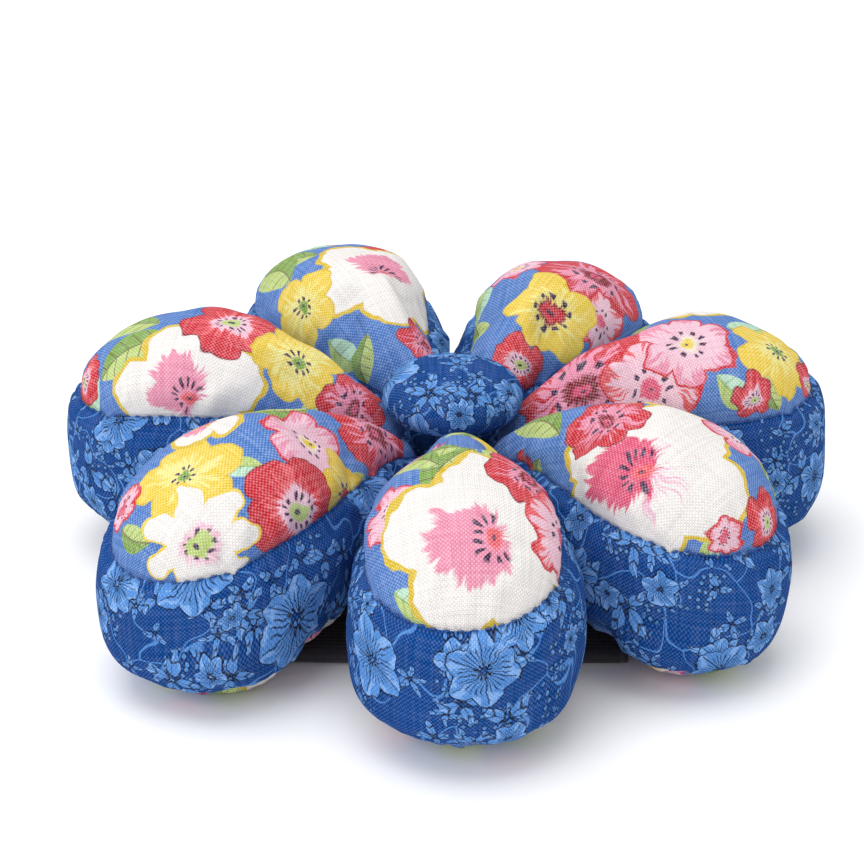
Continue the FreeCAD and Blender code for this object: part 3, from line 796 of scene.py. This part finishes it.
def spread_flowers(tree, cloth, spacing, size, seed, share, leafy):
    """A field of drawn flowers or leaf sprays, turned at random: one in a share of the cells of a
    Voronoi pattern.

    Petals are ellipses drawn out to a point, each with a rib and hatching from the heart. Returns
    the masks of their bodies, their ink lines and their pale strokes.
    """
    moved = stretched(tree, cloth, (1 / spacing, 1 / spacing, 1), (seed * 13.7, seed * 7.1, 0))
    cells = voronoi(tree, moved, 1.0)
    cells.inputs["Randomness"].default_value = 0.8
    away = vector_math(tree, "SUBTRACT", moved, Field(tree, cells.outputs["Position"]))
    away_x, away_y, _ = split(tree, away)
    luck, turn, bulk = split(tree, Field(tree, cells.outputs["Color"]))
    wobble = texture_noise(tree, cloth, 0.5, 2.0) - 0.5
    x = away_x * spacing + wobble * 1.6
    y = away_y * spacing - wobble * 1.4
    radius = bulk * (size * 0.4) + size * 0.75
    r = (x * x + y * y) ** 0.5 / radius
    angle = y.math("ARCTAN2", x) + turn * (2 * math.pi)
    petals = (luck * 2.99).math("FLOOR") + (3 if leafy else 5)
    part = ((angle * petals / (2 * math.pi)).math("FRACT") - 0.5) * (2 * math.pi) / petals
    reach = r * part.math("COSINE")
    along = (reach - 0.55) / 0.45
    point = reach.math("MAXIMUM", 0.0).flipped().math("MAXIMUM", 0.02)
    width = (petals * -0.05 + 0.70) * (0.5 if leafy else 1)
    across = r * part.math("SINE") / (width * point ** (0.4 if leafy else 0.1))
    inside = ((along * along + across * across) ** 0.5).flipped() * radius * 0.42
    present = ((turn * 7.31).math("FRACT") * -1 + share).step(0.01)
    body = inside.step(0.12) * present
    rim = (abs(inside) * -1 + 0.09).step(0.10) * present
    rib = (abs(across) * -1 + 0.05).step(0.07) * (reach * -1 + 0.9).step(0.05)
    if leafy:
        marks = ((reach * 16 - abs(across) * 3).math("SINE") - 0.75).step(0.4)
    else:
        marks = ((part * 30).math("COSINE") - 0.62).step(0.5)
        marks = marks * (r * -1 + 0.62).step(0.12) * (r - 0.16).step(0.1)
    lines = rim.math("MAXIMUM", rib.math("MAXIMUM", marks) * body * 0.9)
    if not leafy:
        seeds = ((angle * 9).math("COSINE") - 0.1).step(0.3) * (abs(r - 0.17) * -1 + 0.05).step(0.04)
        lines = lines.math("MAXIMUM", seeds * present)
    pale = ((across * 5 + wobble * 9).math("SINE") - 0.35).step(0.5) * (reach - 0.5).step(0.3) * body
    return body, lines, pale


def line_print(tree, cloth):
    """Royal blue cotton with pale blue flowers, leaves, stems and berries drawn in dark ink."""
    royal, sky = linear(0, 72, 148), linear(84, 142, 214)
    light, ink = linear(150, 192, 246), linear(0, 16, 50)
    colour = mix(tree, texture_noise(tree, cloth, 0.1, 1.0) * 0.6, royal, linear(0, 54, 118))
    bent = texture_noise(tree, cloth, 0.22, 0.0, "Color")
    stems = voronoi(tree, vector_math(tree, "MULTIPLY_ADD", bent, (9, 9, 0), cloth), 1 / 10.5,
                    "DISTANCE_TO_EDGE")
    stem = (Field(tree, stems.outputs["Distance"]) * -1 + 0.016).step(0.012)
    colour = mix(tree, stem * 0.9, colour, sky)
    spray = (texture_noise(tree, cloth, 0.13, 0.0) - 0.585).step(0.03)
    dot = Field(tree, voronoi(tree, cloth, 1 / 1.2).outputs["Distance"])
    colour = mix(tree, (dot * -1 + 0.34).step(0.1) * spray, colour, ink)
    colour = mix(tree, (dot * -1 + 0.22).step(0.1) * spray, colour, sky)
    # spacing and size in millimetres, seed, share of the cells filled, and leaves or flowers
    fields = ((5.6, 2.6, 3, 0.6, True), (8.5, 4.4, 5, 0.75, True), (7.5, 2.7, 2, 0.45, False),
              (15.0, 5.4, 1, 0.8, False))
    for field in fields:
        body, lines, pale = spread_flowers(tree, cloth, *field)
        colour = mix(tree, body, colour, sky)
        colour = mix(tree, pale * 0.6, colour, light)
        colour = mix(tree, lines, colour, ink)
    return colour


blue_cotton = cotton("blue_cotton", line_print, 0.09)
# the bottom panels were cut from the cloth that the left petal's print comes from
under_cotton = flower_cotton(5)
under_cotton.name = "flower_cotton_under"

# ----------------------------------------
# The petals, panel by panel.
# The side panel's print runs on from petal to petal as the strip was cut, so each takes its own
# stretch of cloth. The filling is loose white fibre, packed to the cloth all round.
# ----------------------------------------
cloth_thickness = 0.4 * MM
filling_inset = 0.9 * MM


def plain(name, colour, roughness, grain, depth, sheen=0.0, metal=0.0):
    """A finish with a fine grain in its colour and its bump, as deep as the depth in metres."""
    material, tree, shader = new_material(name, roughness)
    shader.inputs["Sheen Weight"].default_value = sheen
    shader.inputs["Metallic"].default_value = metal
    tangle = texture_noise(tree, node(tree, "ShaderNodeTexCoord", "Object"), grain, 4.0)
    dim = (*(0.72 * part for part in colour[:3]), 1)
    surface(tree, shader, mix(tree, tangle, dim, colour), tangle, 0.6, depth)
    return material


fibre_material = plain("fibre_filling", linear(250, 249, 246), 0.95, 900.0, 0.3 * MM, sheen=0.3)


def filling(name, points, faces):
    """The fibre inside: the pillow's own form, moved in along its normals."""
    piece = make_piece(name, points, faces.tolist())
    normals = read(piece.data.vertices, "normal", (-1, 3))
    set_positions(piece.data, points - normals * filling_inset)
    return piece


for number, (points, faces, panels, uv) in enumerate(finished):
    body_name = f"petal_{number + 1}"
    shift = uv.copy()
    shift[panels == SIDE] += np.array([41.0 * number, 9.0 * number], dtype=np.float32)
    for panel, word, slot, material in (
        (TOP, "top_panel", "floral_cotton", flower_cotton(number)),
        (SIDE, "side_panel", "blue_cotton", blue_cotton),
        (BOTTOM, "bottom_panel", "floral_cotton", under_cotton),
    ):
        used, local = np.unique(faces[panels == panel], return_inverse=True)
        piece = make_piece(f"{body_name}_{word}_cloth", points[used], local.reshape(-1, 4).tolist(),
                           shift[panels == panel])
        thicken(piece, cloth_thickness, -1)
        piece.data.materials.append(material)
        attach(piece, body_name)
        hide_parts(f"{body_name}_{word}")
    inside = filling(f"{body_name}_filling_fibre", points, faces)
    inside.data.materials.append(fibre_material)
    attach(inside, body_name)
    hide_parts(f"{body_name}_filling")

# ----------------------------------------
# The seams' threads.
# Blue spun polyester, sewn from the wrong side, so that only the tops of the stitches show in the
# fold between two panels. Each stitch is a short bow whose ends dive into the cloth.
# ----------------------------------------
stitch_pitch = 1.7 * MM
stitch_share = 0.6
stitch_rise = 0.3 * MM
stitch_sink = 0.12 * MM
thread_radius = 0.13 * MM
thread_material = plain("seam_thread", linear(34, 78, 150), 0.7, 3000.0, 0.05 * MM)


def stitches(name, ring, outward):
    """Short bowed tubes along a closed line of points, one stitch for each pitch of it."""
    rings, sides = 6, 6
    loop = np.concatenate([ring, ring[:1]])
    run = distances(loop)
    count = int(run[-1] / stitch_pitch)
    along = np.linspace(0, 1, rings)
    stations = (np.arange(count)[:, None] + along * stitch_share) * run[-1] / count
    line = read_line(stations, run, loop)
    away = read_line(stations, run, np.concatenate([outward, outward[:1]]))
    away /= np.linalg.norm(away, axis=-1, keepdims=True)
    line = line + away * (np.sin(along * math.pi)[None, :, None] * stitch_rise - stitch_sink)
    ahead = np.gradient(line, axis=1)
    ahead /= np.linalg.norm(ahead, axis=-1, keepdims=True)
    across = np.cross(ahead, away)
    turn = np.arange(sides) / sides * 2 * math.pi
    taper = (thread_radius * np.array([0.5, 0.95, 1, 1, 0.95, 0.5]))[None, :, None, None]
    spokes = away[:, :, None] * np.sin(turn)[:, None] + across[:, :, None] * np.cos(turn)[:, None]
    points = (line[:, :, None] + spokes * taper).reshape(-1, 3)
    first = np.arange(count)[:, None] * rings * sides
    base = first[:, None] + np.arange(rings - 1)[:, None] * sides
    side, after = np.arange(sides), (np.arange(sides) + 1) % sides
    quads = np.stack([base + side, base + side + sides, base + after + sides, base + after], axis=-1)
    caps = np.concatenate([first + side, first + (rings - 1) * sides + side[::-1]])
    piece = make_piece(name, points, quads.reshape(-1, 4).tolist() + caps.tolist())
    piece.data.materials.append(thread_material)
    return piece


def seam_line(points, faces, panels, first, second):
    """The points where two panels meet, in order round the petal, and the way out from each."""
    shared = np.intersect1d(faces[panels == first], faces[panels == second])
    middle_point = points.mean(axis=0)
    around = points[shared] - middle_point
    order = np.argsort(np.arctan2(around[:, 1], around[:, 0]))
    line = points[shared[order]]
    return line, line - middle_point


for number, (points, faces, panels, uv) in enumerate(finished):
    body_name = f"petal_{number + 1}"
    for word, first, second in (("top", TOP, SIDE), ("bottom", SIDE, BOTTOM)):
        line, outward = seam_line(points, faces, panels, first, second)
        piece = stitches(f"{body_name}_{word}_stitches", line, outward)
        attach(piece, body_name)
        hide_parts(f"{body_name}_{word}_seam_thread")

# ----------------------------------------
# The covered button.
# Blue cotton drawn over a pressed metal shell and gathered under its rim, where a back plate with
# a wire shank snaps in. The shell, plate and shank are bare metal.
# ----------------------------------------
button_low, button_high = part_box("button_cover")
button_radius = (button_high[0] - button_low[0]) / 2
button_half_height = 5.0 * MM
button_cut_place = np.array([31, 64])     # millimetres along and across the blue cloth
button_middle = button_high[2] - button_half_height


def button_cloth(name, around=96, down=40):
    """A flattened ball from its crown to under the rim, then in to the plate, with small gathers."""
    lean = np.linspace(math.pi / 2, -0.42 * math.pi, down)
    turn = np.arange(around + 1) / around * 2 * math.pi
    reach = button_radius * 0.99 * np.cos(lean) ** 0.92
    rise = button_half_height * 0.99 * np.sin(lean)
    under = np.clip(-lean / 0.8, 0, 1)
    rise = np.where(lean < -0.5, np.maximum(rise, -0.47 * button_half_height), rise)
    reach[0] = 0
    run = np.concatenate([[0], np.cumsum(np.hypot(np.diff(reach), np.diff(rise)))])
    grid_turn, grid_reach = np.meshgrid(turn, reach)
    gather = (np.sin(grid_turn * 23) + 0.7 * np.sin(grid_turn * 31 + 1)) * under[:, None] * 0.10 * MM
    slack = (np.sin(grid_turn * 3 + 0.6) + np.sin(grid_turn * 2 + 2)) * 0.07 * MM * np.cos(lean)[:, None]
    outward = grid_reach + (gather + slack) * (grid_reach > 0)
    points = np.stack([outward * np.cos(grid_turn), outward * np.sin(grid_turn),
                       np.broadcast_to(rise[:, None] + button_middle, outward.shape)], axis=-1)
    cut = np.stack([run[:, None] * np.cos(grid_turn), run[:, None] * np.sin(grid_turn)], axis=-1) / MM
    cut = cut + button_cut_place
    number = np.arange(down)[:, None] * around + np.arange(around)
    number[0] = 0
    number[1:] -= around - 1
    wrap = np.concatenate([number, number[:, :1]], axis=1)
    corners = np.stack([wrap[:-1, :-1], wrap[1:, :-1], wrap[1:, 1:], wrap[:-1, 1:]], axis=-1)
    uv = np.stack([cut[:-1, :-1], cut[1:, :-1], cut[1:, 1:], cut[:-1, 1:]], axis=2)
    kept = np.concatenate([points[0, :1], points[1:, :-1].reshape(-1, 3)])
    fan = np.stack([np.zeros(around, dtype=int), wrap[1, :-1], wrap[1, 1:]], axis=1)
    fan_uv = np.concatenate([np.broadcast_to(cut[0, 0], (around, 1, 2)), uv[0][:, 1:3]], axis=1)
    flat_uv = np.concatenate([fan_uv.reshape(-1, 2), uv[1:].reshape(-1, 2)])
    piece = make_piece(name, kept, fan.tolist() + corners[1:].reshape(-1, 4).tolist(), flat_uv)
    piece.data.materials.append(blue_cotton)
    thicken(piece, cloth_thickness, -1)
    return piece


button_piece = button_cloth("button_cloth")
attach(button_piece, "button")
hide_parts("button_cover")


def dress(material, *names):
    """Gives CAD nodes a finish."""
    for name in names:
        for place in frame["nodes"][name].material_slots:
            place.material = material


shell_metal = plain("button_metal", linear(205, 206, 210), 0.35, 1500.0, 0.02 * MM, metal=1.0)
dress(shell_metal, "button_shell", "button_back_plate")
wire_metal = plain("shank_wire", linear(190, 190, 194), 0.3, 2500.0, 0.01 * MM, metal=1.0)
dress(wire_metal, "button_shank")

# ----------------------------------------
# The middle.
# Waxed thread gathers the petals' tips into a ring, and another is tied from the button's shank
# down to a knot. A stiff sheet over a felt disc closes the underside and stops the pins.
# ----------------------------------------
waxed = plain("waxed_thread", linear(40, 70, 130), 0.5, 2500.0, 0.08 * MM)
dress(waxed, "tuft_knot", "tuft_thread", "gathering_thread")
felt = plain("black_felt", linear(30, 30, 34), 0.95, 1400.0, 0.25 * MM, sheen=0.4)
dress(felt, "felt_disc")
sheet_material = plain("guard_sheet", linear(226, 226, 222), 0.5, 500.0, 0.03 * MM)
dress(sheet_material, "pin_guard")

# ----------------------------------------
# The wrist band.
# A loop of wide black woven elastic lying folded flat, sewn through its upper run to the felt.
# Its ribs run across it, and a firm selvedge edges it.
# ----------------------------------------
fold_boxes = [np.array(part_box(name)) for name in ("band_front_fold", "band_rear_fold")]
band_low = np.minimum(fold_boxes[0][0], fold_boxes[1][0])
band_high = np.maximum(fold_boxes[0][1], fold_boxes[1][1])
run_low, run_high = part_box("band_lower_run")
band_thickness = run_high[2] - run_low[2]


def elastic():
    """Black woven elastic: crosswise ribs, lengthwise rubber lines and a plain selvedge, with painted shade
    in the grooves between the ribs and lines.
    """
    rib_pitch, line_pitch = 0.9, 1.1
    material, tree, shader = new_material("black_elastic", 0.75)
    shader.inputs["Sheen Weight"].default_value = 0.15
    cloth = node(tree, "ShaderNodeUVMap", "UV", {"uv_map": "cut"})
    across, along, _ = split(tree, cloth)
    rib = abs((along * (math.pi / rib_pitch)).math("SINE"))
    line = abs((across * (math.pi / line_pitch)).math("SINE"))
    height = rib * 0.6 + line * 0.4
    half = (band_high[0] - band_low[0]) / 2 / MM
    edge = (abs(abs(across) - (half - 0.8)) * -1 + 0.25).step(0.2)
    fuzz = texture_noise(tree, cloth, 6.0, 3.0)
    # painted shade: lighter on the crowns of the ribs and lines, darker in the grooves between them, with a
    # random fuzz in the tone
    colour = mix(tree, height * 0.6 + fuzz * 0.4, linear(12, 11, 15), linear(36, 33, 42))
    colour = mix(tree, edge * 0.5, colour, linear(58, 54, 66))
    surface(tree, shader, colour, height + fuzz * 0.3, 1.0, 0.12 * MM)
    return material


def band_loop(name, across=48, bend=16, straight=60):
    """The loop's middle line, two runs and two half turns, carried across its width."""
    radius = (band_high[2] - band_low[2] - band_thickness) / 2
    rise = (band_high[2] + band_low[2]) / 2
    front, rear = run_low[1], run_high[1]
    turn = np.linspace(0, math.pi, bend + 1)[:-1]
    run = np.linspace(0, 1, straight + 1)[:-1]
    y = np.concatenate([front + (rear - front) * run, rear + radius * np.sin(turn),
                        rear + (front - rear) * run, front - radius * np.sin(turn)])
    z = np.concatenate([np.full(straight, rise + radius), rise + radius * np.cos(turn),
                        np.full(straight, rise - radius), rise - radius * np.cos(turn)])
    x = np.linspace(band_low[0], band_high[0], across + 1)
    count = len(y)
    sway = 0.25 * MM * np.sin(x / MM * 0.19 + 0.8)
    points = np.stack([
        np.broadcast_to(x[:, None], (across + 1, count)),
        y[None] + sway[:, None] * np.where(y < 0, 1, 0.6)[None],
        np.broadcast_to(z[None], (across + 1, count)),
    ], axis=-1).reshape(-1, 3)
    steps = np.hypot(np.diff(np.append(y, y[0])), np.diff(np.append(z, z[0])))
    length = np.concatenate([[0], np.cumsum(steps)]) / MM
    row = np.arange(across)[:, None] * count
    here, after = np.arange(count), (np.arange(count) + 1) % count
    faces = np.stack([row + here, row + count + here, row + count + after, row + after], axis=-1)
    left, right = (np.broadcast_to(part[:, None] / MM, (across, count)) for part in (x[:-1], x[1:]))
    near, far = (np.broadcast_to(part, (across, count)) for part in (length[:-1], length[1:]))
    uv = np.stack([left, near, right, near, right, far, left, far], axis=-1)
    piece = make_piece(name, points, faces.reshape(-1, 4).tolist(), uv)
    piece.data.materials.append(elastic())
    thicken(piece, band_thickness * 0.96, 0)
    return piece


band = band_loop("wrist_band")
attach(band, "core")
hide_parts("band_upper_run", "band_lower_run", "band_front_fold", "band_rear_fold")
black_thread = plain("band_thread", linear(44, 44, 48), 0.7, 2500.0, 0.05 * MM)
dress(black_thread, "band_stitches")

# ----------------------------------------
# The view: a plain pale sweep, soft light from above, and the camera.
# ----------------------------------------
floor_reach = 3.0
floor_corners = floor_reach * np.array([(-1, -1, 0), (1, -1, 0), (1, 1, 0), (-1, 1, 0)])
floor = make_piece("floor", floor_corners, [(0, 1, 2, 3)])
paper, _, paper_shader = new_material("paper", 1.0)
paper_shader.inputs["Base Color"].default_value = (0.93, 0.93, 0.93, 1)
floor.data.materials.append(paper)

world = bpy.data.worlds.new("studio")
world.use_nodes = True
world.node_tree.nodes["Background"].inputs["Color"].default_value = (1, 1, 1, 1)
world.node_tree.nodes["Background"].inputs["Strength"].default_value = 0.86
bpy.context.scene.world = world


def softbox(name, place, size, watts):
    """A square area light aimed at the middle of the flower."""
    lamp = bpy.data.lights.new(name, "AREA")
    lamp.energy = watts
    lamp.size = size
    light = add_object(name, lamp)
    light.location = place
    light.rotation_euler = (-light.location).to_track_quat("-Z", "Y").to_euler()


softbox("overhead", (-0.15, 0.0, 0.9), 0.8, 4.5)
softbox("front_left", (-0.6, -0.7, 0.6), 0.6, 3.5)

lens = bpy.data.cameras.new("camera")
lens.lens = 99.8
lens.sensor_width = 36.0
lens.clip_start = 0.01
camera = add_object("camera", lens)
camera.location = (-0.0029, -0.3068, 0.1659)
camera_pitch = 25.2                       # degrees down
camera.rotation_euler = (math.radians(90 - camera_pitch), 0, 0)
bpy.context.scene.camera = camera
bpy.context.scene.view_settings.view_transform = "Standard"
